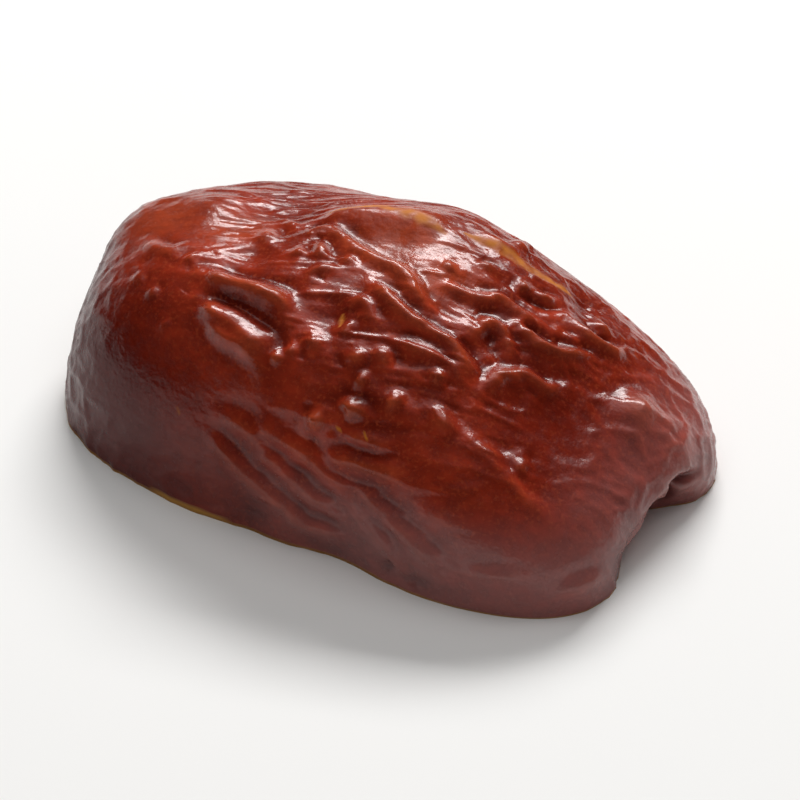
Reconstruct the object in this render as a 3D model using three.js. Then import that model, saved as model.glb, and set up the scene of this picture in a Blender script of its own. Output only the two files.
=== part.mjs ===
// A dried jujube half: the fruit was cut lengthwise, stoned and dried, and lies on its cut face.
// Millimetres. +X runs along the fruit to its stem end and +Z up from the cut face.

import * as THREE from "three";
import { mergeVertices } from "three/addons/utils/BufferGeometryUtils.js";

// Size of the smooth form under the wrinkles
const LENGTH = 38.4;
const WIDTH = 22;
const HEIGHT = 13;

// How full the form is: a power of 2 would make it a plain ellipsoid
const PLAN_POWER = 2.9;
const RISE_POWER = 2.7;

// Toward the stem end the fruit gets lower and wider, as shares of its height and width
const STEM_DROP = 0.41;
const STEM_FLARE = 0.15;

// The back leans to one side as it rises
const LEAN = 0.08;

// The dimple that the stem grew from
const DIMPLE_DEPTH = 4.6;
const DIMPLE_Y = 0;
const DIMPLE_Z = -0.3;
const DIMPLE_HALF_WIDTH = 3.2;
const DIMPLE_HALF_RISE = 2.4;

// The bed of the stone in the cut face
const BED_LENGTH = 23;
const BED_WIDTH = 8;
const BED_DEPTH = 3.2;
const BED_X = -1;

// The wrinkles were read in pixels of a picture: its scale, viewing angle and the pixel of the fruit's middle
const MM_PER_PIXEL = 0.23;
const VIEW_AZIMUTH = THREE.MathUtils.degToRad(29);
const VIEW_ELEVATION = THREE.MathUtils.degToRad(38);
const CENTRE_PIXEL = new THREE.Vector2(458.4, 538);

// Skin folds in pixels. Height and breadth are in millimetres, and a furrow's height is below zero.
const FOLDS = [
  // Blossom-end shoulder, at the left
  { height: 0.7, breadth: 0.8, path: [[411, 493.5], [419, 496], [429, 499.5], [432.5, 505]] },
  { height: 0.7, breadth: 0.8, path: [[410, 500.5], [418, 506], [424, 510.5], [427, 517.5]] },
  { height: 0.55, breadth: 0.6, path: [[412, 505.5], [418, 511], [424.5, 514.5], [427.5, 519]] },
  { height: 0.3, breadth: 0.6, path: [[397.5, 486.5], [404, 488.5], [408, 486.5]] },
  { height: 0.35, breadth: 0.7, path: [[427, 479], [428, 482], [429, 484.5]] },
  { height: 0.35, breadth: 0.5, path: [[431.5, 513], [432, 520]] },
  { height: 0.3, breadth: 0.5, path: [[435, 512], [435, 518]] },

  // Crest
  { height: 0.6, breadth: 1.4, path: [[440, 477], [448, 477.2], [458, 478.2], [466, 480], [474, 484]] },
  { height: 0.4, breadth: 0.5, path: [[440.5, 484], [442.3, 488], [442.5, 491]] },
  { height: 0.5, breadth: 0.7, path: [[438, 483.5], [445, 481.5], [450, 486], [460, 492], [468.5, 502.5]] },
  { height: 0.35, breadth: 0.5, path: [[441, 496], [443, 493], [448, 494]] },
  { height: 0.6, breadth: 0.7, path: [[454, 495.5], [462, 503.5], [471, 509.5], [477, 515], [481.5, 521.5]] },
  { height: 0.4, breadth: 0.6, path: [[447, 499.5], [453, 502], [458, 508]] },
  { height: 0.45, breadth: 0.6, path: [[459, 510.5], [465, 513.5], [472, 516], [479.5, 523]] },
  { height: 0.35, breadth: 0.5, path: [[438.5, 511], [443, 514]] },
  { height: 0.45, breadth: 0.6, path: [[451.7, 512.5], [451, 519.5]] },
  { height: 0.45, breadth: 0.6, path: [[456.3, 512], [457.5, 519.5]] },

  // Shoulder over the stem end, at the right
  { height: 0.3, breadth: 0.5, path: [[471.5, 491.5], [477, 494]] },
  { height: 0.4, breadth: 0.6, path: [[472, 495], [479.5, 499.5], [487, 500.5], [493, 505], [499.5, 509]] },
  { height: 0.55, breadth: 0.7, path: [[489, 504.5], [494.5, 510], [502, 514], [511.5, 515]] },
  { height: 0.3, breadth: 0.5, path: [[480.5, 491], [488, 494]] },
  { height: 0.35, breadth: 0.5, path: [[490, 499], [494.5, 496.5], [499, 500.5], [502.5, 501]] },
  { height: 0.35, breadth: 0.5, path: [[502, 509], [509, 512.5]] },
  { height: 0.5, breadth: 0.7, path: [[505, 504.5], [510, 510], [516, 514], [520, 514]] },
  { height: 0.35, breadth: 0.5, path: [[511.5, 503.5], [516, 510.5]] },
  { height: 0.4, breadth: 0.6, path: [[478, 503.5], [481.5, 508.5], [484, 506.5], [489, 511], [491, 518]] },
  { height: 0.5, breadth: 0.7, path: [[481.5, 525.5], [487.5, 520.5], [494, 520], [499, 523.5], [504, 523]] },
  { height: 0.5, breadth: 1.2, path: [[523.5, 524], [522, 529], [520.5, 534]] },

  // Near wall
  { height: 0.5, breadth: 0.6, path: [[438, 534], [443.5, 529.5]] },
  { height: 0.5, breadth: 0.6, path: [[446, 530], [448.5, 528.5], [453, 532]] },
  { height: 0.45, breadth: 0.6, path: [[468, 519.5], [474.5, 522.5]] },
  { height: 0.4, breadth: 0.6, path: [[450, 521.5], [454.5, 523.2]] },
  { height: 0.45, breadth: 0.6, path: [[457.5, 526], [463, 528.2]] },
  { height: 0.35, breadth: 0.7, path: [[416, 531.5], [423, 534], [434, 546], [441, 553], [449, 559]] },
  { height: 0.3, breadth: 0.7, path: [[424, 531], [438, 541], [444, 546], [452, 552]] },
  { height: 0.35, breadth: 0.6, path: [[413, 535], [424, 547], [438, 559]] },
  { height: 0.4, breadth: 0.6, path: [[430, 552.5], [437, 558.5], [447, 563]] },
  { height: 0.3, breadth: 0.6, path: [[447, 533.5], [455, 537], [462, 539.5]] },
  { height: 0.5, breadth: 0.7, path: [[469, 528], [476, 536]] },
  { height: 0.3, breadth: 0.7, path: [[475, 535], [483, 540.5], [489, 548], [498, 556.5]] },
  { height: 0.35, breadth: 0.6, path: [[490, 541], [494, 545]] },
  { height: 0.35, breadth: 0.7, path: [[441, 541], [450, 543], [458, 544], [466, 546]] },
  { height: 0.35, breadth: 0.7, path: [[450, 549], [456, 554], [462, 560], [472, 571]] },
  { height: 0.25, breadth: 0.7, path: [[446, 553], [452, 557], [462, 570]] },
  { height: 0.3, breadth: 0.6, path: [[500, 575.5], [507, 572.5], [515, 571]] },

  // Furrows
  { height: -0.15, breadth: 0.6, path: [[427, 536], [434, 542], [440, 547]] },
  { height: -0.15, breadth: 0.6, path: [[446, 535.5], [455, 540], [462, 542]] },
  { height: -0.15, breadth: 0.5, path: [[453, 553], [458, 558], [464, 564]] },
  { height: -0.3, breadth: 0.6, path: [[457.5, 566.5], [461, 570], [471, 574]] },

  // The slit in the stem dimple
  { height: -0.6, breadth: 0.8, path: [[525, 553.5], [530, 548.5], [533, 546.5], [536, 544.5]] },
];

// Broad dents in pixels, and bulges, whose depth is below zero. Depth and reach are in millimetres.
const DENTS = [
  { depth: 0.2, reach: 2.4, at: [498, 532] },
  { depth: 0.5, reach: 2, at: [424, 489.5] },
  { depth: 0.3, reach: 1.2, at: [418, 501] },
  { depth: 0.4, reach: 1.3, at: [445, 505] },
  { depth: 0.4, reach: 1.1, at: [485, 513] },
  { depth: 0.4, reach: 1.6, at: [475, 503] },
  { depth: 0.4, reach: 1.4, at: [424, 555] },
  { depth: -0.5, reach: 1.8, at: [416, 477] },
  { depth: -0.4, reach: 2, at: [529, 538] },
  { depth: -1.3, reach: 3.6, at: [396, 484] },
  { depth: 1.3, reach: 4.5, at: [434, 475] },
  { depth: -0.5, reach: 3, at: [477, 481] },
  { depth: 0.5, reach: 1.5, at: [509, 503] },
  { depth: 0.6, reach: 3, at: [445, 564] },
  { depth: 0.9, reach: 3, at: [519, 567] },
  { depth: -0.4, reach: 1.8, at: [521, 532] },
  { depth: 0.4, reach: 1.7, at: [460, 488] },
  { depth: 0.3, reach: 1.5, at: [452, 484] },
];

// Broad swells in pixels, which lift the folds on them. Height and reach are in millimetres.
const SWELLS = [
  { height: 0.5, reach: 2.8, path: [[430, 521], [442, 530], [458, 539], [476, 548]] },
  { height: 0.6, reach: 3.4, path: [[484, 560], [494, 563], [503, 564], [508, 562]] },
];

// A fold's crest is rounded over this width and fades in over this length at its ends
const CREST_ROUND = 0.15;
const FADE_LENGTH = 0.8;
const FOLD_STEP = 0.3;

// Squares along an edge of the half cube that becomes the fruit, and of the finer one that seats the folds
const CELLS = 38;
const SEAT_CELLS = 90;

const RIGHT = new THREE.Vector3(Math.cos(VIEW_AZIMUTH), Math.sin(VIEW_AZIMUTH), 0);
const TOWARD_VIEWER = new THREE.Vector3(
  Math.sin(VIEW_AZIMUTH) * Math.cos(VIEW_ELEVATION),
  -Math.cos(VIEW_AZIMUTH) * Math.cos(VIEW_ELEVATION),
  Math.sin(VIEW_ELEVATION),
);
const UP = new THREE.Vector3().crossVectors(TOWARD_VIEWER, RIGHT);

const { smoothstep } = THREE.MathUtils;

// The smooth fruit without wrinkles, along a direction from the middle of its cut face
function form(direction) {
  const { x, y, z } = direction;
  const plan = Math.pow(Math.abs(x), PLAN_POWER) + Math.pow(Math.abs(y), PLAN_POWER);
  const fullness = Math.pow(plan, RISE_POWER / PLAN_POWER) + Math.pow(Math.abs(z), RISE_POWER);
  const reach = Math.pow(fullness, -1 / RISE_POWER);
  const point = new THREE.Vector3((x * LENGTH) / 2, (y * WIDTH) / 2, z * HEIGHT).multiplyScalar(reach);

  const along = point.x / (LENGTH / 2);
  const stem = smoothstep(along, 0, 1);
  point.z *= 1 - STEM_DROP * stem;
  point.y = point.y * (1 + STEM_FLARE * stem) + LEAN * point.z;
  const aside = (point.y - DIMPLE_Y) / DIMPLE_HALF_WIDTH;
  const above = (point.z - DIMPLE_Z) / DIMPLE_HALF_RISE;
  const dimple = Math.exp(-(aside ** 2) - above ** 2);
  point.x -= DIMPLE_DEPTH * dimple * smoothstep(along, 0.5, 1);
  return point;
}

// The outward normal of the smooth fruit, from two short steps to either side
function formNormal(direction) {
  const helper = Math.abs(direction.z) < 0.9 ? new THREE.Vector3(0, 0, 1) : new THREE.Vector3(1, 0, 0);
  const across = new THREE.Vector3().crossVectors(helper, direction).normalize().multiplyScalar(0.01);
  const along = new THREE.Vector3().crossVectors(direction, across);
  const slope = (step) => form(direction.clone().add(step)).sub(form(direction.clone().sub(step)));
  return slope(across).cross(slope(along)).normalize();
}

function pixelOf(point) {
  return new THREE.Vector2(
    CENTRE_PIXEL.x + point.dot(RIGHT) / MM_PER_PIXEL,
    CENTRE_PIXEL.y - point.dot(UP) / MM_PER_PIXEL,
  );
}

// A half cube of squares, whose corners are directions over the skin and places on the cut face
function halfCube(cells) {
  const box = new THREE.BoxGeometry(2, 2, 1, cells, cells, cells / 2).translate(0, 0, 0.5);
  box.deleteAttribute("normal");
  box.deleteAttribute("uv");
  return mergeVertices(box);
}

function cornersOf(geometry) {
  const { position } = geometry.attributes;
  const corner = (_, i) => new THREE.Vector3().fromBufferAttribute(position, i);
  return Array.from({ length: position.count }, corner);
}

function isOnSkin(corner) {
  return corner.z > 1e-6 || Math.max(Math.abs(corner.x), Math.abs(corner.y)) > 1 - 1e-6;
}

// The points of the smooth fruit that show in the picture
const SEEN = cornersOf(halfCube(SEAT_CELLS))
  .filter(isOnSkin)
  .map((corner) => corner.normalize())
  .map((direction) => ({ point: form(direction), normal: formNormal(direction) }))
  .filter(({ normal }) => normal.dot(TOWARD_VIEWER) > 0);

// The place on the smooth fruit where something of a height over the skin is seen at a pixel
function seat([x, y], height) {
  const pixel = new THREE.Vector2(x, y);
  const misses = SEEN.map(({ point, normal }) => {
    const top = point.clone().addScaledVector(normal, height);
    return pixelOf(top).distanceTo(pixel);
  });
  return SEEN[misses.indexOf(misses.reduce((a, b) => Math.min(a, b)))].point;
}

// A fold as points along its crest, each with its share of the full height
function layFold({ height, breadth, path }) {
  const curve = new THREE.CatmullRomCurve3(path.map((pixel) => seat(pixel, Math.max(height, 0))));
  const length = curve.getLength();
  const steps = Math.ceil(length / FOLD_STEP);
  const crest = curve.getSpacedPoints(steps).map((point, i) => {
    const toEnd = (Math.min(i, steps - i) / steps) * length;
    return { point, share: 0.35 + 0.65 * smoothstep(toEnd, 0, FADE_LENGTH) };
  });
  return { height, breadth, crest };
}

const LAID_FOLDS = FOLDS.map(layFold);
const LAID_DENTS = DENTS.map(({ depth, reach, at }) => ({ depth, reach, centre: seat(at, 0) }));
const LAID_SWELLS = SWELLS.map(({ height, reach, path }) => {
  const curve = new THREE.CatmullRomCurve3(path.map((pixel) => seat(pixel, 0)));
  return { height, reach, crest: curve.getSpacedPoints(Math.ceil(curve.getLength() / FOLD_STEP)) };
});

function foldHeight(fold, point) {
  const shares = fold.crest.map(({ point: crest, share }) => {
    const away = Math.hypot(crest.distanceTo(point), CREST_ROUND) - CREST_ROUND;
    return share * Math.exp(-away / fold.breadth);
  });
  return fold.height * Math.max(...shares);
}

function swellHeight({ height, reach, crest }, point) {
  const away = Math.min(...crest.map((place) => place.distanceTo(point)));
  return height * Math.exp(-((away / reach) ** 2));
}

// Where folds meet, the higher one carries on and the two don't pile up
function relief(point) {
  const heights = LAID_FOLDS.map((fold) => foldHeight(fold, point));
  const together = (side) => Math.cbrt(heights.reduce((sum, h) => sum + Math.max(0, side * h) ** 3, 0));
  const dents = LAID_DENTS.reduce(
    (sum, { depth, reach, centre }) => sum + depth * Math.exp(-((centre.distanceTo(point) / reach) ** 2)),
    0,
  );
  const swells = LAID_SWELLS.reduce((sum, swell) => sum + swellHeight(swell, point), 0);
  return together(1) - together(-1) - dents + swells;
}

// The skin with its wrinkles, whose edge stays level with the cut face.
// The side away from the viewer repeats the near side's wrinkles, a half turn round.
function skin(direction) {
  const point = form(direction);
  const normal = formNormal(direction);
  if (direction.z === 0) normal.setZ(0).normalize();
  const hidden = 1 - smoothstep(normal.dot(TOWARD_VIEWER), -0.2, 0.15);
  const turned = new THREE.Vector3(-point.x, -point.y, point.z);
  const height = relief(point) + (hidden > 0 ? hidden * relief(turned) : 0);
  return point.addScaledVector(normal, height);
}

// How far the cut face stands off the table, over the bed of the stone
function bed(x, y) {
  const along = (x - BED_X) / (BED_LENGTH / 2);
  const aside = y / (BED_WIDTH / 2);
  return BED_DEPTH * smoothstep(1 - along ** 2 - aside ** 2, 0, 1);
}

// A corner of the half cube as a point of the fruit: on the skin, or on the cut face inside the skin's edge
function place(corner) {
  if (isOnSkin(corner)) return skin(corner.clone().normalize());
  const ring = Math.max(Math.abs(corner.x), Math.abs(corner.y));
  if (ring === 0) return new THREE.Vector3(0, 0, bed(0, 0));
  const point = skin(corner.clone().normalize()).multiplyScalar(ring);
  return point.setZ(bed(point.x, point.y));
}

function jujubeHalf() {
  const geometry = halfCube(CELLS);
  geometry.setFromPoints(cornersOf(geometry).map(place));
  geometry.computeBoundingBox();
  const { min, max } = geometry.boundingBox;
  geometry.translate(-(min.x + max.x) / 2, -(min.y + max.y) / 2, -min.z);
  geometry.computeVertexNormals();
  const driedSkin = new THREE.MeshStandardMaterial({ color: "#742f23", roughness: 0.35, metalness: 0 });
  const mesh = new THREE.Mesh(geometry, driedSkin);
  mesh.name = "jujube_half";
  return mesh;
}

const part = new THREE.Group();
part.add(jujubeHalf());

export default part;
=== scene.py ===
"""A dried jujube half on a pale studio floor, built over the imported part."""

import math

import bmesh
import bpy
import numpy as np
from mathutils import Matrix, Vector, kdtree, noise


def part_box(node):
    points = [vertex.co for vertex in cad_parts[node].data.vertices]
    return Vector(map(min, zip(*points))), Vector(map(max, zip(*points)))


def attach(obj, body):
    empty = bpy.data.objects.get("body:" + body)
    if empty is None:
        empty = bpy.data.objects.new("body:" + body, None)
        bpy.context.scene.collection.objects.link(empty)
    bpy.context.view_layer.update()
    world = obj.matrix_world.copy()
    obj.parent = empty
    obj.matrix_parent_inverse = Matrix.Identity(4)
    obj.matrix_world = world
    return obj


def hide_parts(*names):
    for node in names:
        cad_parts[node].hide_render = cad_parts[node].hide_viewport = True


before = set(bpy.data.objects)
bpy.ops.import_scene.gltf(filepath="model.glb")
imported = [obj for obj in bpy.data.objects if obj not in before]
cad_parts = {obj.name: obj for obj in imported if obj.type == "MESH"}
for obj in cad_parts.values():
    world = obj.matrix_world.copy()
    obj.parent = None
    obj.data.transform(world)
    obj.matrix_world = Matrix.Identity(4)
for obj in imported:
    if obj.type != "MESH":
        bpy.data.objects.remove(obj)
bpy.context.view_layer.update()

bl_info = {
    "name": "Dried Jujube Half",
    "version": (1, 0, 0),
    "blender": (4, 5, 0),
    "location": "View3D > Sidebar > Jujube",
    "description": "Builds a dried jujube half and its studio stage",
    "category": "Add Mesh",
}

MM = 0.001
NODE = "jujube_half"

# The picture that the wrinkles were read from: its scale and viewing angle, the pixel of the middle of the
# smooth fruit's cut face, the pixel of the frame's origin, and the part of the picture that the camera frames
MM_PER_PIXEL = 0.23
VIEW_AZIMUTH = math.radians(29)
VIEW_ELEVATION = math.radians(38)
CENTRE_PIXEL = (458.4, 538.0)
ORIGIN_PIXEL = (456.0, 538.4)
FRAMED_PIXEL = (461.0, 528.0)
FRAMED_PIXELS = 200

# Skin folds as (height in mm, breadth in mm, path in pixels). A furrow's height is below zero.
BLOSSOM_FOLDS = [
    (0.90, 0.88, [(411, 493.5), (419, 496), (424, 497.5), (429, 499.5), (431.5, 501.5), (432.5, 505)]),
    (0.92, 0.88, [(410, 500.5), (414, 503.5), (418, 506), (424, 510.5), (426.5, 513), (427, 517.5)]),
    (0.73, 0.69, [(412, 505.5), (415, 508.5), (418, 511), (421.5, 512.5), (424.5, 514.5), (427.5, 519)]),
    (0.32, 0.62, [(397.5, 486.5), (400, 488), (404, 488.5), (408, 486.5)]),
    (0.42, 0.75, [(427, 479), (428, 482), (429, 484.5)]),
    (0.47, 0.56, [(431.5, 513), (431.8, 520)]),
    (0.42, 0.53, [(435, 512), (435, 518)]),
    (0.21, 0.50, [(396.5, 493.5), (396.5, 498.5)]),
    (0.21, 0.50, [(398.5, 498.5), (400.5, 501.5)]),
    (0.16, 0.50, [(402, 506.5), (403.5, 510)]),
    (0.21, 0.50, [(407, 492), (409.5, 490.5), (412, 490)]),
]
CREST_FOLDS = [
    (0.63, 1.62, [(440, 477), (448, 477.2), (458, 478.2), (466, 480), (474, 484)]),
    (0.32, 0.50, [(436.5, 485.5), (436.5, 490)]),
    (0.47, 0.56, [(440.5, 484), (442.3, 488), (442.5, 491)]),
    (0.26, 0.50, [(430, 476), (434, 478), (437, 481)]),
    (0.53, 0.75, [(438, 483.5), (441, 481.5), (445, 481.5), (450, 486), (455, 489.5), (460, 492),
                  (463.5, 495), (466, 499.5), (468.5, 502.5)]),
    (0.37, 0.50, [(439.5, 496), (440.5, 493.5), (443.3, 493), (448, 494)]),
    (0.32, 0.50, [(448.5, 489), (449.8, 493)]),
    (0.68, 0.75, [(454, 495.5), (459, 500.5), (462, 503.5), (465, 506), (471, 509.5), (474, 511.5),
                  (477, 515), (481.5, 521.5)]),
    (0.42, 0.62, [(447, 499.5), (450, 501), (453, 502), (455, 505), (458, 508)]),
    (0.53, 0.62, [(459, 510.5), (465, 513.5), (469, 514.5), (472, 516), (475, 518.5), (479.5, 523)]),
    (0.32, 0.50, [(463, 510.5), (467, 512), (469.5, 513)]),
    (0.47, 0.69, [(437.5, 510), (440.5, 512.5), (443.5, 514.5)]),
    (0.58, 0.78, [(451.7, 512.5), (451.3, 516), (451, 519.5)]),
    (0.58, 0.78, [(456.3, 512), (457, 516), (457.5, 519.5)]),
    (0.26, 0.50, [(450, 505), (448.5, 509), (446.5, 512)]),
]
STEM_FOLDS = [
    (0.32, 0.50, [(471.5, 491.5), (474, 493), (477, 494)]),
    (0.42, 0.56, [(472, 495), (475, 497), (479.5, 499.5), (484, 500.5), (487, 500.5), (493, 505),
                  (499.5, 509)]),
    (0.32, 0.50, [(480.5, 491), (482, 492.5), (488, 494)]),
    (0.37, 0.50, [(490, 499), (492.5, 498), (494.5, 496.5)]),
    (0.37, 0.50, [(495.5, 498.5), (499, 500.5), (502.5, 501)]),
    (0.63, 0.69, [(489, 504.5), (491.5, 507), (494.5, 510), (498, 512.5), (502, 514), (507, 514.5),
                  (511.5, 515)]),
    (0.37, 0.50, [(502, 509), (505, 511), (509, 512.5)]),
    (0.58, 0.69, [(505, 504.5), (507, 507), (510, 510), (513, 512.5), (516, 514), (520, 514)]),
    (0.42, 0.56, [(511.5, 503.5), (513, 506.5), (516, 510.5)]),
    (0.42, 0.62, [(478, 503.5), (479.5, 506.5), (481.5, 508.5), (484, 506.5), (487, 508), (489, 511),
                  (490, 515), (491, 518)]),
    (0.53, 0.69, [(481.5, 525.5), (485, 522.5), (487.5, 520.5), (490, 520), (494, 520), (496, 521.5),
                  (499, 523.5), (504, 523)]),
    (0.60, 1.20, [(523.5, 524), (522, 529), (520.5, 534)]),
    (0.37, 0.75, [(480, 483), (485, 486), (490, 488.5), (494, 487.5), (497, 490)]),
    (0.26, 0.75, [(498.5, 519), (503, 517.5), (508, 517.5), (512, 516.5)]),
    (0.32, 0.75, [(485, 518), (486, 519)]),
]
WALL_FOLDS = [
    (0.68, 0.62, [(438, 534), (440, 532.5), (443.5, 529.5)]),
    (0.68, 0.62, [(446, 530), (448.5, 528.5), (451, 530), (453, 532)]),
    (0.32, 0.75, [(416, 531.5), (423, 534), (428, 540), (434, 546), (441, 553), (449, 559)]),
    (0.29, 0.75, [(424, 531), (432, 537), (438, 541), (444, 546), (452, 552)]),
    (0.32, 0.69, [(413, 535), (418, 541), (424, 547), (431, 553), (438, 559)]),
    (0.47, 0.62, [(430, 552.5), (433, 555), (437, 558.5), (441, 560.5), (447, 563)]),
    (0.32, 0.62, [(447, 533.5), (455, 537), (462, 539.5)]),
    (0.58, 0.69, [(469, 528), (471.5, 530.5), (474, 534), (476, 536)]),
    (0.29, 0.69, [(475, 535), (478, 537), (483, 540.5), (486, 544.5), (489, 548), (492, 551), (498, 556.5)]),
    (0.37, 0.62, [(490, 541), (494, 545)]),
    (0.37, 0.75, [(441, 541), (450, 543), (458, 544), (466, 546)]),
    (0.37, 0.75, [(450, 549), (456, 554), (462, 560), (468, 565), (472, 571)]),
    (0.26, 0.69, [(446, 553), (452, 557), (457, 563), (462, 570)]),
    (0.21, 0.62, [(475, 570), (484, 570), (492, 571)]),
    (0.32, 0.62, [(500, 575.5), (507, 572.5), (515, 571)]),
    (0.53, 0.78, [(468, 519.5), (471, 520.5), (474.5, 522.5)]),
    (0.47, 0.78, [(450, 521.5), (452.3, 522.2), (454.5, 523.2)]),
    (0.58, 0.78, [(457.5, 526), (460.5, 527), (463, 528.2)]),
]
FURROWS = [
    (-0.13, 0.62, [(427, 536), (434, 542), (440, 547)]),
    (-0.13, 0.62, [(446, 535.5), (450, 538), (455, 540), (462, 542)]),
    (-0.16, 0.50, [(453, 553), (458, 558), (464, 564)]),
    (-0.11, 0.75, [(484, 534.5), (489, 540), (494, 545.5), (500, 552)]),
    (-0.21, 0.62, [(461, 570), (467, 572), (471, 574)]),
    (-0.32, 0.62, [(457.5, 566.5), (460, 570)]),
    (-0.32, 0.50, [(488, 497), (493, 500.5), (498, 503.5), (503, 504)]),
    (-0.16, 0.50, [(445, 514.5), (448, 518), (450, 520)]),
]
STEM_SLIT = (-0.90, 0.50, [(524.5, 554), (527, 551.5), (530, 548.5), (533, 546.5), (536, 544.5)])

# Broad dents as (depth in mm, reach in mm, pixel). A bulge's depth is below zero.
DENTS = [
    (0.2, 2.4, (498, 532)),
    (0.5, 2.0, (424, 489.5)),
    (0.3, 1.2, (418, 501)),
    (0.4, 1.3, (445, 505)),
    (0.4, 1.1, (485, 513)),
    (0.4, 1.6, (475, 503)),
    (0.4, 1.4, (424, 555)),
    (-0.5, 1.8, (416, 477)),
    (-0.4, 2.0, (529, 538)),
    (-1.3, 3.6, (396, 484)),
    (1.3, 4.5, (434, 475)),
    (-0.5, 3.0, (477, 481)),
    (0.5, 1.5, (509, 503)),
    (0.6, 3.0, (445, 564)),
    (0.9, 3.0, (519, 567)),
    (-0.4, 1.8, (521, 532)),
    (0.4, 1.7, (460, 488)),
    (0.3, 1.5, (452, 484)),
]

# Broad swells as (height in mm, reach in mm, path in pixels)
SWELLS = [
    (0.5, 2.8, [(430, 521), (442, 530), (458, 539), (476, 548)]),
    (0.6, 3.4, [(484, 560), (494, 563), (503, 564), (508, 562)]),
]

# Skin that dried smooth, without fine wrinkles, as (reach in mm, pixel)
SMOOTH_SKIN = [
    (2.5, (461, 486)),
    (6.0, (402, 518)),
    (3.0, (420, 526)),
    (5.0, (495, 567)),
    (2.0, (420, 544)),
    (2.0, (500, 535)),
    (1.6, (517, 528)),
    (3.2, (404, 484)),
    (3.0, (420, 503)),
]

# Patches of lighter, thinner skin as (reach in mm, pixel)
RUDDY_SKIN = [
    (2.6, (403, 482)),
    (3.0, (461, 487)),
    (2.5, (470, 494)),
    (2.0, (420, 482)),
]

# Patches of painted shade in the stem notch and on a plain turned from the lights, as (strength, reach in mm,
# pixel)
PAINTED_SHADE_SPOTS = [
    (0.6, 4.2, (499, 533)),
    (1.0, 1.1, (528, 551)),
    (0.8, 0.9, (532.5, 547)),
]

# Places where the skin is torn or worn down to the flesh, as (half width in mm, path in pixels)
TEARS = [
    (0.26, [(444, 478.3), (451, 478.5), (459, 479.7)]),
    (0.42, [(457, 479.7), (463, 481.5), (468, 483.8), (473, 486)]),
    (0.22, [(476, 480.5), (481, 481.3), (486, 482.5)]),
    (0.38, [(478, 486), (487, 490), (492, 492.5), (498, 496), (505, 500)]),
    (0.16, [(447.8, 505), (447, 508.5)]),
    (0.12, [(447.2, 533.7), (448, 534.2)]),
    (0.10, [(454, 535.3), (454.6, 535.8)]),
    (0.12, [(406.3, 529.3), (406.8, 530)]),
]

# Across a fold, lengths are multiples of its crest, which is a share of its breadth. Its near slope takes a
# part of its height and runs out over a length. The crease at its far side is a share of its height deep, and
# folds of a breadth in mm and over have none.
CREST_SHARE = 0.80
SLOPE_PART = 0.3
SLOPE_LENGTH = 2.0
SLOPE_ROUNDING = 0.6
CREASE_SHARE = 0.25
CREASE_MIDDLE = 1.7
CREASE_HALF_WIDTH = 0.8
CREASED_BREADTH = 1.2

# Along a fold, in mm: it fades over a length to a share of its height at its ends, and is laid in short steps
FADE_LENGTH = 1.6
END_SHARE = 0.25
FOLD_STEP = 0.12

# Fine wrinkles as (height in mm, length in mm, width in mm, turn in degrees, softness, place in the noise):
# those between the folds, and the long ones on the side that the picture hides. They sink as well as rise, from
# a level between hollow and crest, and their lines bend. The seed makes each build the same.
FINE_WRINKLES = [
    (0.09, 7.0, 1.8, 12, 0.20, 3.7),
    (0.05, 5.0, 1.0, 15, 0.24, 11.3),
]
HIDDEN_WRINKLES = (0.26, 11.0, 2.3, -8, 0.30, 7.1)
WRINKLE_LEVEL = 0.3
WRINKLE_BEND = 0.45
WRINKLE_SEED = 4

# Skin counts as hidden from the picture as it turns from edge-on to a little away from the viewer
HIDDEN_FACING = (-0.35, 0.0)

# Dull bloom with a painted reflection of the pale floor fades out between two heights and comes in along the
# fruit, and dull bloom comes in again at the stem end, in mm
BLOOM_REFLECTION_HEIGHTS = (3.0, 7.0)
BLOOM_REFLECTION_ALONG = (-8.0, 6.0)
BLOOM_REFLECTION_LEAST = 0.05
STEM_BLOOM = 0.6
STEM_BLOOM_ALONG = (13.0, 17.0)

# Painted shade low at the blossom end fades out along the fruit and with height, in mm
SHADE_ALONG = (-12.0, 0.0)
SHADE_HEIGHTS = (6.5, 11.0)

# Bare flesh along the rim of the cut face: its height all round, the height added on the near side where the
# skin was trimmed back, and the middle and reach of that place along the fruit, in mm. It fades out between two
# shares of its height.
RIM_FLESH = 0.03
TRIMMED_FLESH = 0.35
TRIMMED_X = -7.0
TRIMMED_REACH = 3.5
RIM_FADE = (0.7, 1.1)

# A crest or a hollow is judged against the skin within a number of squares, and its height in mm is scaled up
CREST_SQUARES = 40
CREST_GAIN = 1.4


def linear(hex_colour):
    """An sRGB hex colour as linear red, green, blue and alpha."""
    channels = [int(hex_colour[i:i + 2], 16) / 255 for i in (1, 3, 5)]
    return tuple(c / 12.92 if c <= 0.04045 else ((c + 0.055) / 1.055) ** 2.4 for c in channels) + (1.0,)


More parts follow.
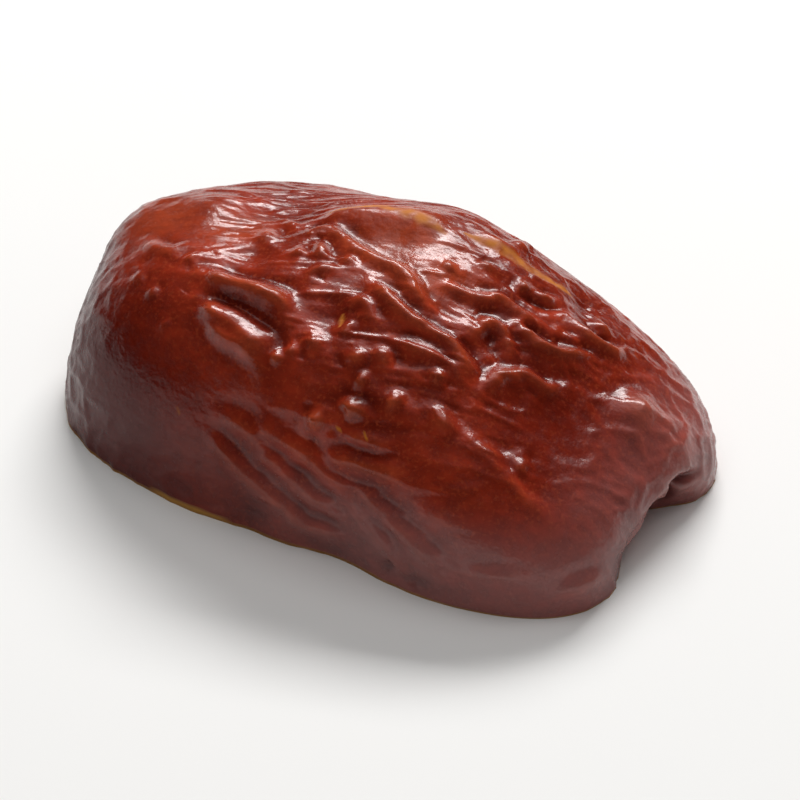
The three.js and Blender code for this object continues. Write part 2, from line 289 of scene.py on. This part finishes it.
class FruitShape(bpy.types.PropertyGroup):
    """Size and form of the dried half under its wrinkles"""

    length: bpy.props.FloatProperty(
        name="Length", description="Length along the fruit", default=38.4 * MM, unit="LENGTH")
    width: bpy.props.FloatProperty(
        name="Width", description="Width across the cut face", default=22.0 * MM, unit="LENGTH")
    height: bpy.props.FloatProperty(
        name="Height", description="Height over the cut face", default=13.0 * MM, unit="LENGTH")
    plan_power: bpy.props.FloatProperty(
        name="Plan Fullness", description="How square the outline is, from 2 for an ellipse", default=2.9)
    rise_power: bpy.props.FloatProperty(
        name="Rise Fullness", description="How square the back is, from 2 for an ellipse", default=2.7)
    stem_drop: bpy.props.FloatProperty(
        name="Stem Drop", description="Share of the height lost at the stem end", default=0.41,
        subtype="FACTOR")
    stem_flare: bpy.props.FloatProperty(
        name="Stem Flare", description="Share of the width gained at the stem end", default=0.15,
        subtype="FACTOR")
    lean: bpy.props.FloatProperty(
        name="Lean", description="How far the back leans to one side as it rises", default=0.08)
    dimple_depth: bpy.props.FloatProperty(
        name="Dimple Depth", description="Depth of the dimple that the stem grew from", default=4.6 * MM,
        unit="LENGTH")
    bed_length: bpy.props.FloatProperty(
        name="Stone Bed Length", description="Length of the bed of the stone", default=23.0 * MM,
        unit="LENGTH")
    bed_width: bpy.props.FloatProperty(
        name="Stone Bed Width", description="Width of the bed of the stone", default=8.0 * MM, unit="LENGTH")
    bed_depth: bpy.props.FloatProperty(
        name="Stone Bed Depth", description="Depth of the bed of the stone", default=3.2 * MM, unit="LENGTH")
    cells: bpy.props.IntVectorProperty(
        name="Cells", description="Squares along, across and up the half cube that becomes the fruit", size=3,
        default=(190, 104, 86))


class FruitColours(bpy.types.PropertyGroup):
    """Colours of the skin and the flesh"""

    skin: bpy.props.FloatVectorProperty(
        name="Skin", description="Sun-dried skin", size=4, subtype="COLOR", default=linear("#a2331c"))
    # Darker skin tone for blotches, mottling and streaks, and painted shade in the hollows, low at the blossom
    # end and in the stem notch
    skin_dark_and_shade: bpy.props.FloatVectorProperty(
        name="Dark Skin", description="Skin in hollows and at the blossom end", size=4, subtype="COLOR",
        default=linear("#4a0804"))
    # Lighter skin tone for thin patches and specks, and a painted highlight on the crests of the folds
    skin_light_and_highlight: bpy.props.FloatVectorProperty(
        name="Light Skin", description="Skin stretched over the folds", size=4, subtype="COLOR",
        default=linear("#b8502e"))
    # Dull bloom, and a painted reflection of the pale floor, low on the sides
    bloom_and_reflection: bpy.props.FloatVectorProperty(
        name="Bloom", description="Dull bloom low on the sides", size=4, subtype="COLOR",
        default=linear("#8f6a68"))
    torn: bpy.props.FloatVectorProperty(
        name="Torn Skin", description="Amber flesh where the skin is torn", size=4, subtype="COLOR",
        default=linear("#b8690a"))
    flesh: bpy.props.FloatVectorProperty(
        name="Flesh", description="Dry flesh on the cut face", size=4, subtype="COLOR",
        default=linear("#d2b065"))
    flesh_brown: bpy.props.FloatVectorProperty(
        name="Browned Flesh", description="Flesh browned by drying", size=4, subtype="COLOR",
        default=linear("#b5823a"))


class StageSettings(bpy.types.PropertyGroup):
    """Camera, light and floor"""

    distance: bpy.props.FloatProperty(
        name="Camera Distance", description="From the camera to the fruit", default=0.6, unit="LENGTH")
    floor: bpy.props.FloatVectorProperty(
        name="Floor", description="Pale floor", size=4, subtype="COLOR", default=linear("#efeeec"))
    strip_power: bpy.props.FloatProperty(
        name="Strip Light", description="Power of the wide, low soft light behind the fruit", default=4.6,
        unit="POWER")
    sheen_power: bpy.props.FloatProperty(
        name="Sheen Light", description="Power of the broad light that only glints on the skin", default=1.4,
        unit="POWER")
    overhead_power: bpy.props.FloatProperty(
        name="Overhead Light", description="Power of the wide soft light overhead", default=3.2, unit="POWER")
    fill_strength: bpy.props.FloatProperty(
        name="Fill Light", description="Strength of the even light all round", default=0.15)


# Form of the fruit, in millimetres

def smoothstep(t, low, high):
    s = np.clip((t - low) / (high - low), 0, 1)
    return s * s * (3 - 2 * s)


RIGHT = np.array([math.cos(VIEW_AZIMUTH), math.sin(VIEW_AZIMUTH), 0])
TOWARD_VIEWER = np.array([
    math.sin(VIEW_AZIMUTH) * math.cos(VIEW_ELEVATION),
    -math.cos(VIEW_AZIMUTH) * math.cos(VIEW_ELEVATION),
    math.sin(VIEW_ELEVATION),
])
UP = np.cross(TOWARD_VIEWER, RIGHT)

DIMPLE_MIDDLE = (0.0, -0.3)
DIMPLE_HALF = (3.2, 2.4)
BED_X = -1.0


def fruit_form(directions, shape):
    """The smooth fruit without wrinkles, along directions from the middle of its cut face."""
    length, width, height = shape.length / MM, shape.width / MM, shape.height / MM
    across = np.abs(directions)
    plan = across[:, 0] ** shape.plan_power + across[:, 1] ** shape.plan_power
    fullness = plan ** (shape.rise_power / shape.plan_power) + across[:, 2] ** shape.rise_power
    points = directions * (length / 2, width / 2, height) * (fullness ** (-1 / shape.rise_power))[:, None]
    along = points[:, 0] / (length / 2)
    stem = smoothstep(along, 0, 1)
    points[:, 2] *= 1 - shape.stem_drop * stem
    points[:, 1] = points[:, 1] * (1 + shape.stem_flare * stem) + shape.lean * points[:, 2]
    aside = (points[:, 1] - DIMPLE_MIDDLE[0]) / DIMPLE_HALF[0]
    above = (points[:, 2] - DIMPLE_MIDDLE[1]) / DIMPLE_HALF[1]
    points[:, 0] -= shape.dimple_depth / MM * np.exp(-aside ** 2 - above ** 2) * smoothstep(along, 0.5, 1)
    return points


def form_normals(directions, shape):
    """Outward normals of the smooth fruit, from short steps to either side."""
    helper = np.where(np.abs(directions[:, 2:]) < 0.9, (0.0, 0.0, 1.0), (1.0, 0.0, 0.0))
    across = np.cross(helper, directions)
    across *= 0.01 / np.linalg.norm(across, axis=1)[:, None]
    along = np.cross(directions, across)

    def slope(step):
        return fruit_form(directions + step, shape) - fruit_form(directions - step, shape)

    normals = np.cross(slope(across), slope(along))
    normals[directions[:, 2] == 0, 2] = 0
    return normals / np.linalg.norm(normals, axis=1)[:, None]


def pixels_of(points):
    return np.stack([
        CENTRE_PIXEL[0] + points @ RIGHT / MM_PER_PIXEL,
        CENTRE_PIXEL[1] - points @ UP / MM_PER_PIXEL,
    ], axis=1)


def smooth_path(points, step):
    """Points at a short step along a rounded curve through the given ones."""
    points = np.asarray(points)
    ends = np.vstack([2 * points[0] - points[1], points, 2 * points[-1] - points[-2]])
    path = []
    for a, b, c, d in zip(ends, ends[1:], ends[2:], ends[3:]):
        count = max(2, math.ceil(np.linalg.norm(c - b) / step))
        t = np.arange(count)[:, None] / count
        path.append(0.5 * (2 * b + (c - a) * t + (2 * a - 5 * b + 4 * c - d) * t ** 2
                           + (3 * b - a - 3 * c + d) * t ** 3))
    return np.vstack(path + [points[-1:]])


class Seats:
    """The places on the smooth fruit that the picture's pixels show."""

    def __init__(self, points, normals):
        seen = normals @ TOWARD_VIEWER > 0
        self.points, self.normals = points[seen], normals[seen]
        self.pixels = pixels_of(self.points)
        self.lifts = pixels_of(self.points + self.normals) - self.pixels
        self.tree = kdtree.KDTree(len(self.points))
        for i, point in enumerate(self.points):
            self.tree.insert(point, i)
        self.tree.balance()

    def seat(self, pixel, height=0):
        """The place where something of a height in mm over the skin is seen at a pixel."""
        return self.points[np.argmin(((self.pixels + height * self.lifts - pixel) ** 2).sum(axis=1))]

    def lay(self, path, height=0):
        return smooth_path([self.seat(pixel, height) for pixel in path], FOLD_STEP)

    def far_side(self, path):
        """Directions over the skin from a path to its side that is farther up and right in the picture."""
        normals = self.normals[[self.tree.find(point)[1] for point in path]]
        across = np.cross(normals, np.gradient(path, axis=0))
        across /= np.linalg.norm(across, axis=1)[:, None]
        return across * np.sign(across @ (UP + 0.6 * RIGHT))[:, None]


def near_path(path, points, reach):
    """The points near a path, as their index, their distance and the index of the path's closest point."""
    low, high = path.min(axis=0) - reach, path.max(axis=0) + reach
    near = np.flatnonzero(((points > low) & (points < high)).all(axis=1))
    away = np.linalg.norm(points[near, None, :] - path[None, :, :], axis=2)
    closest = np.argmin(away, axis=1)
    return near, away[np.arange(len(near)), closest], closest


def spot(points, seats, reach, pixel, power=2):
    """A round patch: 1 at the place that a pixel shows, falling to 0 past its reach in mm."""
    return np.exp(-(np.linalg.norm(points - seats.seat(pixel), axis=1) / reach) ** power)


def fold_relief(folds, seats, points):
    """Height of the folds over the smooth fruit. A fold slopes to its near side, and drops into a narrow
    crease on its far side. Where folds meet, the higher one carries on."""
    ridges, furrows = np.zeros(len(points)), np.zeros(len(points))
    for height, breadth, pixels in folds:
        path = seats.lay(pixels, max(height, 0))
        run = np.concatenate([[0], np.cumsum(np.linalg.norm(np.diff(path, axis=0), axis=1))])
        to_end = np.minimum(run, run[-1] - run)
        shares = END_SHARE + (1 - END_SHARE) * smoothstep(to_end, 0, min(FADE_LENGTH, run[-1] / 2))
        near, away, closest = near_path(path, points, 6 * breadth)
        side = ((points[near] - path[closest]) * seats.far_side(path)[closest]).sum(axis=1)
        across = np.copysign(away, side) / (CREST_SHARE * breadth)
        lifted = np.exp(-across ** 2)
        if height > 0:
            slope = np.exp(-(np.hypot(across, SLOPE_ROUNDING) - SLOPE_ROUNDING) / SLOPE_LENGTH)
            lifted = np.where(across < 0, (1 - SLOPE_PART) * lifted + SLOPE_PART * slope, lifted)
            if breadth < CREASED_BREADTH:
                crease = CREASE_SHARE * np.exp(-((across - CREASE_MIDDLE) / CREASE_HALF_WIDTH) ** 2)
                furrows[near] += (height * shares[closest] * crease) ** 3
        tally = ridges if height > 0 else furrows
        tally[near] += (abs(height) * shares[closest] * lifted) ** 3
    return np.cbrt(ridges) - np.cbrt(furrows)


def dent_relief(seats, points):
    """Height of the broad dents and swells over the smooth fruit."""
    relief = np.zeros(len(points))
    for depth, reach, pixel in DENTS:
        relief -= depth * spot(points, seats, reach, pixel)
    for height, reach, pixels in SWELLS:
        near, away, _ = near_path(seats.lay(pixels)[::4], points, 3 * reach)
        relief[near] += height * np.exp(-(away / reach) ** 2)
    return relief


def wrinkle_network(points, height, long_mm, wide_mm, turn, softness, seed):
    """Relief of fine raised folds between smooth hollows, drawn out along the fruit."""
    c, s = math.cos(math.radians(turn)), math.sin(math.radians(turn))
    q = np.stack([
        (points[:, 0] * c + points[:, 1] * s) / long_mm,
        (points[:, 1] * c - points[:, 0] * s) / wide_mm,
        points[:, 2] / wide_mm,
    ], axis=1) + seed
    crest = np.empty(len(points))
    for i, co in enumerate(q):
        place = Vector(co)
        place += WRINKLE_BEND * noise.noise_vector(place * 0.9)
        away = noise.voronoi(place)[0]
        crest[i] = math.exp(-((away[1] - away[0]) / softness) ** 2)
    return height * (crest - WRINKLE_LEVEL)


def skin_relief(smooth, normals, seats):
    """Height of the skin over the smooth fruit, in mm: folds, dents and fine wrinkles. The side that the
    picture hides repeats the folds and dents of the side that it shows, half a turn round."""
    folds = BLOSSOM_FOLDS + CREST_FOLDS + STEM_FOLDS + WALL_FOLDS + FURROWS + [STEM_SLIT]
    turned = smooth * (-1, -1, 1)
    hidden = 1 - smoothstep(normals @ TOWARD_VIEWER, *HIDDEN_FACING)
    pleats = fold_relief(folds, seats, smooth) + hidden * fold_relief(folds, seats, turned)
    dents = dent_relief(seats, smooth) + hidden * dent_relief(seats, turned)
    rough = np.ones(len(smooth))
    for reach, pixel in SMOOTH_SKIN:
        rough -= rough * spot(smooth, seats, reach, pixel, power=4)
    fine = sum(wrinkle_network(smooth, *wrinkles) for wrinkles in FINE_WRINKLES)
    return pleats + dents + rough * fine + hidden * wrinkle_network(smooth, *HIDDEN_WRINKLES)


def stone_bed(points, shape):
    """Height of the cut face, in mm: flat, with the oval bed of the stone sunk up into it."""
    along = (points[:, 0] - BED_X) / (shape.bed_length / MM / 2)
    aside = points[:, 1] / (shape.bed_width / MM / 2)
    return shape.bed_depth / MM * smoothstep(1 - along ** 2 - aside ** 2, 0, 1)


# Where the colours of the skin, its painted shade, painted highlight and painted floor reflection lie, from 0
# to 1

def crests(relief, edges):
    """Crests of the skin, over a half, and its hollows, below a half, against the skin nearby. The skin
    material paints a highlight on the crests and shade in the hollows.
    """
    shares = np.bincount(edges.ravel())
    soft = relief.copy()
    for _ in range(CREST_SQUARES):
        total = np.bincount(edges[:, 0], soft[edges[:, 1]], len(relief))
        total += np.bincount(edges[:, 1], soft[edges[:, 0]], len(relief))
        soft = total / shares
    return np.clip(0.5 + CREST_GAIN * (relief - soft), 0, 1)


def noise_field(points, size_mm, seed):
    return np.array([noise.noise(Vector(co) / size_mm + Vector((seed, seed, seed))) for co in points])


def torn_skin(smooth, seats):
    """Tears with ragged edges that narrow to their ends, with scraps of skin left in them."""
    worn = np.zeros(len(smooth))
    ragged = 1 + 0.5 * noise_field(smooth, 0.6, 5.0)
    for half_width, pixels in TEARS:
        path = seats.lay(pixels)
        run = np.linspace(0, 1, len(path))
        narrow = np.sqrt(np.clip(4 * run * (1 - run), 0.05, 1))
        near, away, closest = near_path(path, smooth, 4 * half_width)
        reach = half_width * narrow[closest] * ragged[near]
        worn[near] = np.maximum(worn[near], np.exp(-(away / reach) ** 3))
    return worn * np.clip(0.8 + 0.9 * noise_field(smooth, 0.5, 9.0), 0, 1)


# Cover of dull bloom and a painted reflection of the pale floor low on the sides, and of dull bloom at the stem
# end
def bloom_and_floor_reflection(points):
    along, height = points[:, 0], points[:, 2]
    low = 1 - smoothstep(height, *BLOOM_REFLECTION_HEIGHTS)
    sides = low * (BLOOM_REFLECTION_LEAST + (1 - BLOOM_REFLECTION_LEAST) * smoothstep(along, *BLOOM_REFLECTION_ALONG))
    return np.maximum(sides, STEM_BLOOM * smoothstep(along, *STEM_BLOOM_ALONG))


# Cover of painted shade: low at the blossom end, fading along the fruit and with height, and in the listed
# spots
def painted_shade_cover(smooth, points, seats):
    dark = (1 - smoothstep(points[:, 0], *SHADE_ALONG)) * (1 - smoothstep(points[:, 2], *SHADE_HEIGHTS))
    for strength, reach, pixel in PAINTED_SHADE_SPOTS:
        dark = np.maximum(dark, strength * spot(smooth, seats, reach, pixel))
    return dark


def rim_flesh(points):
    trimmed = np.exp(-((points[:, 0] - TRIMMED_X) / TRIMMED_REACH) ** 2) * (points[:, 1] < 0)
    rise = RIM_FLESH + TRIMMED_FLESH * trimmed
    return 1 - smoothstep(points[:, 2], rise * RIM_FADE[0], rise * RIM_FADE[1])


# Materials

def add_node(tree, kind, inputs=None, **settings):
    """Adds a shader node with its settings. An input is a value, or another node's output to link."""
    made = tree.nodes.new(kind)
    for name, value in settings.items():
        setattr(made, name, value)
    for name, value in (inputs or {}).items():
        if isinstance(value, bpy.types.NodeSocket):
            tree.links.new(value, made.inputs[name])
        else:
            made.inputs[name].default_value = value
    return made


def per_mm(size):
    """A texture's scale for features of a size in millimetres."""
    return 1 / (size * MM)


def new_material(name):
    material = bpy.data.materials.new(name)
    material.use_nodes = True
    material.node_tree.nodes.clear()
    return material


def jujube_skin(colours):
    """Sun-dried jujube skin: a thin waxy red-brown hide, glossy on the folds, with painted shade in the
    hollows, a painted highlight on the crests and a painted floor reflection low on the sides, and torn in
    places to the amber flesh."""
    material = new_material("sun_dried_jujube_skin")
    tree = material.node_tree
    place = add_node(tree, "ShaderNodeTexCoord").outputs["Object"]
    drawn_out = add_node(tree, "ShaderNodeMapping", {
        "Vector": place, "Rotation": (0, 0, math.radians(22)), "Scale": (0.4, 1, 1)}).outputs["Vector"]
    fields = {}
    for name in ("crest", "ruddy", "bloom_and_reflection", "painted_shade", "worn", "flesh_edge"):
        fields[name] = add_node(tree, "ShaderNodeAttribute", attribute_name=name).outputs["Fac"]
    for name, vector, size, detail in (
        ("blotch", place, 5.0, 3.0),
        ("mottle", place, 0.8, 3.0),
        ("speck", place, 0.22, 2.0),
        ("pebble", place, 0.32, 2.0),
        ("crinkle", drawn_out, 0.6, 2.0),
    ):
        fields[name] = add_node(tree, "ShaderNodeTexNoise", {
            "Vector": vector, "Scale": per_mm(size), "Detail": detail}).outputs["Fac"]

    # Layers of colour: the field that a layer follows, the values it runs between, and its cover at each
    colour = colours.skin
    for name, low, high, at_low, at_high, layer in (
        ("blotch", 0.38, 0.62, 0.45, 0.0, colours.skin_dark_and_shade),
        # Painted shade in the hollows of the folds
        ("crest", 0.22, 0.48, 0.75, 0.0, colours.skin_dark_and_shade),
        # Painted highlight on the crests of the folds
        ("crest", 0.52, 0.95, 0.0, 0.6, colours.skin_light_and_highlight),
        ("ruddy", 0.0, 1.0, 0.0, 0.5, colours.skin_light_and_highlight),
        ("mottle", 0.35, 0.65, 0.0, 0.3, colours.skin_dark_and_shade),
        # Streaky darker tone, darkest in the low creases of the crinkle bump, so partly painted shade
        ("crinkle", 0.35, 0.60, 0.22, 0.0, colours.skin_dark_and_shade),
        ("speck", 0.54, 0.68, 0.0, 0.28, colours.skin_light_and_highlight),
        # Dull bloom and a painted reflection of the pale floor, low on the sides
        ("bloom_and_reflection", 0.0, 1.0, 0.0, 0.55, colours.bloom_and_reflection),
        # Painted shade low at the blossom end, in the stem notch and in the listed spots
        ("painted_shade", 0.0, 1.0, 0.0, 0.85, colours.skin_dark_and_shade),
        ("worn", 0.0, 1.0, 0.0, 1.0, colours.torn),
        ("flesh_edge", 0.0, 1.0, 0.0, 1.0, colours.flesh_brown),
    ):
        cover = add_node(tree, "ShaderNodeMapRange", {
            "Value": fields[name], "From Min": low, "From Max": high, "To Min": at_low, "To Max": at_high})
        colour = add_node(tree, "ShaderNodeMix", {
            0: cover.outputs["Result"], 6: colour, 7: layer}, data_type="RGBA").outputs[2]

    gloss = add_node(tree, "ShaderNodeMapRange", {
        "Value": fields["mottle"], "From Min": 0.35, "From Max": 0.65, "To Min": 0.18, "To Max": 0.30})
    bare = add_node(tree, "ShaderNodeMath", {0: fields["worn"], 1: fields["flesh_edge"]}, operation="MAXIMUM")
    roughness = add_node(tree, "ShaderNodeMix", {0: bare.outputs[0], 2: gloss.outputs["Result"], 3: 0.70})
    pebble = add_node(tree, "ShaderNodeBump", {
        "Strength": 0.45, "Distance": 0.06 * MM, "Height": fields["pebble"]})
    crinkle = add_node(tree, "ShaderNodeBump", {
        "Strength": 0.18, "Distance": 0.12 * MM, "Height": fields["crinkle"],
        "Normal": pebble.outputs["Normal"]})
    shader = add_node(tree, "ShaderNodeBsdfPrincipled", {
        "Base Color": colour, "Roughness": roughness.outputs[0], "IOR": 1.36,
        "Normal": crinkle.outputs["Normal"]})
    add_node(tree, "ShaderNodeOutputMaterial", {"Surface": shader.outputs["BSDF"]})
    return material


def jujube_flesh(colours):
    """Dry jujube flesh: straw-yellow and crumbly like stale sponge, with small pores, browned in patches."""
    material = new_material("dry_jujube_flesh")
    tree = material.node_tree
    place = add_node(tree, "ShaderNodeTexCoord").outputs["Object"]
    patch = add_node(tree, "ShaderNodeTexNoise", {"Vector": place, "Scale": per_mm(4.0), "Detail": 4.0})
    crumb = add_node(tree, "ShaderNodeTexNoise", {"Vector": place, "Scale": per_mm(0.7), "Detail": 4.0})
    pores = add_node(tree, "ShaderNodeTexVoronoi", {"Vector": place, "Scale": per_mm(1.1)})
    pore = add_node(tree, "ShaderNodeMapRange", {
        "Value": pores.outputs["Distance"], "From Min": 0.25, "From Max": 0.05})

    # Layers of colour, as on the skin
    colour = colours.flesh
    for field, low, high, at_low, at_high, layer in (
        (patch.outputs["Fac"], 0.4, 0.65, 0.0, 1.0, colours.flesh_brown),
        (pore.outputs["Result"], 0.0, 1.0, 0.0, 0.7, colours.flesh_brown),
    ):
        cover = add_node(tree, "ShaderNodeMapRange", {
            "Value": field, "From Min": low, "From Max": high, "To Min": at_low, "To Max": at_high})
        colour = add_node(tree, "ShaderNodeMix", {
            0: cover.outputs["Result"], 6: colour, 7: layer}, data_type="RGBA").outputs[2]

    relief = add_node(tree, "ShaderNodeMath", {
        0: crumb.outputs["Fac"], 1: pore.outputs["Result"]}, operation="SUBTRACT")
    bump = add_node(tree, "ShaderNodeBump", {
        "Strength": 0.9, "Distance": 0.3 * MM, "Height": relief.outputs[0]})
    shader = add_node(tree, "ShaderNodeBsdfPrincipled", {
        "Base Color": colour, "Roughness": 0.8, "IOR": 1.4, "Normal": bump.outputs["Normal"]})
    add_node(tree, "ShaderNodeOutputMaterial", {"Surface": shader.outputs["BSDF"]})
    return material


def matte_card(colour):
    """Matte white card: an even pale sheet with no gloss."""
    material = new_material("matte_white_card")
    shader = add_node(material.node_tree, "ShaderNodeBsdfPrincipled", {
        "Base Color": colour, "Roughness": 0.9, "IOR": 1.4})
    add_node(material.node_tree, "ShaderNodeOutputMaterial", {"Surface": shader.outputs["BSDF"]})
    return material


# Pieces

HALF_CUBE_HEIGHT = 1.5


def half_cube(cells):
    """A half cube of squares, whose corners are directions over the skin and places on the cut face."""
    bm = bmesh.new()
    bmesh.ops.create_cube(bm, size=2)
    bmesh.ops.translate(bm, verts=bm.verts[:], vec=(0, 0, 1))
    bmesh.ops.scale(bm, verts=bm.verts[:], vec=(1, 1, HALF_CUBE_HEIGHT / 2))
    for axis, count in enumerate(cells):
        edges = [e for e in bm.edges if abs((e.verts[0].co - e.verts[1].co)[axis]) > 0.5]
        bmesh.ops.subdivide_edges(bm, edges=edges, cuts=count - 1, use_grid_fill=True)
    bmesh.ops.recalc_face_normals(bm, faces=bm.faces[:])
    return bm


def fit_inside(points, low, high):
    """The points moved to the middle of a box and shrunk, where they must be, to stay inside it."""
    middle = (points.max(axis=0) + points.min(axis=0)) / 2
    size = points.max(axis=0) - points.min(axis=0)
    room = np.array(high) - np.array(low)
    points = (points - middle) * np.minimum(1, room / size) + (np.array(low) + np.array(high)) / 2
    points[:, 2] -= points[:, 2].min() - low[2]
    return points


def mesh_rows(items, field, columns, kind):
    """One field of a mesh's vertices or edges, as rows of numbers."""
    values = np.empty(len(items) * columns, kind)
    items.foreach_get(field, values)
    return values.reshape(-1, columns)


class JUJUBE_OT_half(bpy.types.Operator):
    """Builds the dried jujube half, with its folds, torn skin and cut face"""

    bl_idname = "jujube.half"
    bl_label = "Jujube Half"

    def execute(self, context):
        shape, colours = context.scene.jujube_shape, context.scene.jujube_colours
        noise.seed_set(WRINKLE_SEED)
        bm = half_cube(shape.cells)
        mesh = bpy.data.meshes.new("dried_jujube_half")
        bm.to_mesh(mesh)
        bm.free()

        edges = mesh_rows(mesh.edges, "vertices", 2, np.int32)
        corners = mesh_rows(mesh.vertices, "co", 3, float).round(6)
        ring = np.abs(corners[:, :2]).max(axis=1)
        on_skin = (corners[:, 2] > 0) | (ring > 1 - 1e-5)
        cut = ~on_skin
        directions = corners + np.where(ring[:, None] + corners[:, 2:] == 0, (1.0, 0.0, 0.0), 0.0)
        directions /= np.linalg.norm(directions, axis=1)[:, None]

        smooth = fruit_form(directions, shape)
        normals = form_normals(directions, shape)
        seats = Seats(smooth[on_skin], normals[on_skin])
        relief = skin_relief(smooth, normals, seats)
        points = smooth + normals * relief[:, None]
        points[cut] *= ring[cut, None]
        points[cut, 2] = stone_bed(points[cut], shape)
        points[:, 2] = np.maximum(points[:, 2], 0)
        low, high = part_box(NODE)
        mesh.vertices.foreach_set("co", fit_inside(points * MM, low, high).ravel())

        ruddy = sum(spot(smooth, seats, reach, pixel) for reach, pixel in RUDDY_SKIN)
        for name, values in {
            "ruddy": np.clip(ruddy, 0, 1),
            "crest": crests(relief, edges),
            "worn": torn_skin(smooth, seats) * on_skin,
            "bloom_and_reflection": bloom_and_floor_reflection(points),
            "painted_shade": painted_shade_cover(smooth, points, seats),
            "flesh_edge": rim_flesh(points) * on_skin,
        }.items():
            mesh.attributes.new(name, "FLOAT", "POINT").data.foreach_set("value", values.astype(np.float32))

        mesh.materials.append(jujube_skin(colours))
        mesh.materials.append(jujube_flesh(colours))
        corner_is_cut = cut.tolist()
        for face in mesh.polygons:
            face.use_smooth = True
            face.material_index = int(any(corner_is_cut[v] for v in face.vertices))
        mesh.update()
        half = bpy.data.objects.new("dried_jujube_half", mesh)
        context.scene.collection.objects.link(half)
        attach(half, "root")
        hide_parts(NODE)
        return {"FINISHED"}


class JUJUBE_OT_stage(bpy.types.Operator):
    """Builds the pale floor, the soft studio light and the camera at the picture's viewing angle"""

    bl_idname = "jujube.stage"
    bl_label = "Studio Stage"

    def execute(self, context):
        scene, stage = context.scene, context.scene.jujube_stage
        bm = bmesh.new()
        bmesh.ops.create_grid(bm, x_segments=1, y_segments=1, size=1.5)
        mesh = bpy.data.meshes.new("studio_floor")
        bm.to_mesh(mesh)
        bm.free()
        mesh.materials.append(matte_card(stage.floor))
        floor = bpy.data.objects.new("studio_floor", mesh)
        scene.collection.objects.link(floor)

        away = Vector((-math.sin(VIEW_AZIMUTH), math.cos(VIEW_AZIMUTH), 0))
        for name, power, (wide, tall), (right, behind, above), glints, lights in (
            ("strip_softbox", stage.strip_power, (0.42, 0.16), (0.10, 0.48, 0.42), True, True),
            ("sheen_softbox", stage.sheen_power, (0.60, 0.62), (0.05, 0.40, 0.60), True, False),
            ("overhead_softbox", stage.overhead_power, (1.00, 1.00), (0.0, 0.0, 0.90), False, True),
        ):
            lamp = bpy.data.lights.new(name, "AREA")
            lamp.shape, lamp.size, lamp.size_y, lamp.energy = "RECTANGLE", wide, tall, power
            light = bpy.data.objects.new(name, lamp)
            light.location = Vector(RIGHT) * right + away * behind + Vector((0, 0, above))
            light.rotation_euler = (-light.location).to_track_quat("-Z", "Y").to_euler()
            light.visible_glossy = glints
            light.visible_diffuse = lights
            scene.collection.objects.link(light)

        world = scene.world = bpy.data.worlds.new("studio_fill")
        world.use_nodes = True
        world.node_tree.nodes["Background"].inputs["Color"].default_value = (1, 1, 1, 1)
        world.node_tree.nodes["Background"].inputs["Strength"].default_value = stage.fill_strength
        world.cycles_visibility.glossy = False
        scene.view_settings.view_transform = "Standard"

        lens = bpy.data.cameras.new("camera")
        lens.lens = lens.sensor_width * stage.distance / (FRAMED_PIXELS * MM_PER_PIXEL * MM)
        camera = bpy.data.objects.new("camera", lens)
        aside = (FRAMED_PIXEL[0] - ORIGIN_PIXEL[0]) * MM_PER_PIXEL * MM
        above = (ORIGIN_PIXEL[1] - FRAMED_PIXEL[1]) * MM_PER_PIXEL * MM
        target = Vector(RIGHT) * aside + Vector(UP) * above
        back = Vector(TOWARD_VIEWER)
        camera.location = target + back * stage.distance
        camera.rotation_euler = (-back).to_track_quat("-Z", "Y").to_euler()
        scene.collection.objects.link(camera)
        scene.camera = camera
        return {"FINISHED"}


class JUJUBE_PT_panel(bpy.types.Panel):
    """Lists the pieces and their settings"""

    bl_label = "Dried Jujube Half"
    bl_idname = "JUJUBE_PT_panel"
    bl_space_type = "VIEW_3D"
    bl_region_type = "UI"
    bl_category = "Jujube"

    def draw(self, context):
        for operator, group in (("jujube.half", "jujube_shape"), ("jujube.half", "jujube_colours"),
                                ("jujube.stage", "jujube_stage")):
            box = self.layout.box()
            settings = getattr(context.scene, group)
            for name in settings.__annotations__:
                box.prop(settings, name)
            box.operator(operator)


CLASSES = (FruitShape, FruitColours, StageSettings, JUJUBE_OT_half, JUJUBE_OT_stage, JUJUBE_PT_panel)
GROUPS = {"jujube_shape": FruitShape, "jujube_colours": FruitColours, "jujube_stage": StageSettings}


def register():
    for cls in CLASSES:
        bpy.utils.register_class(cls)
    for name, group in GROUPS.items():
        setattr(bpy.types.Scene, name, bpy.props.PointerProperty(type=group))


def unregister():
    for name in GROUPS:
        delattr(bpy.types.Scene, name)
    for cls in reversed(CLASSES):
        bpy.utils.unregister_class(cls)


def main():
    register()
    bpy.ops.jujube.half()
    bpy.ops.jujube.stage()


if __name__ == "__main__":
    main()
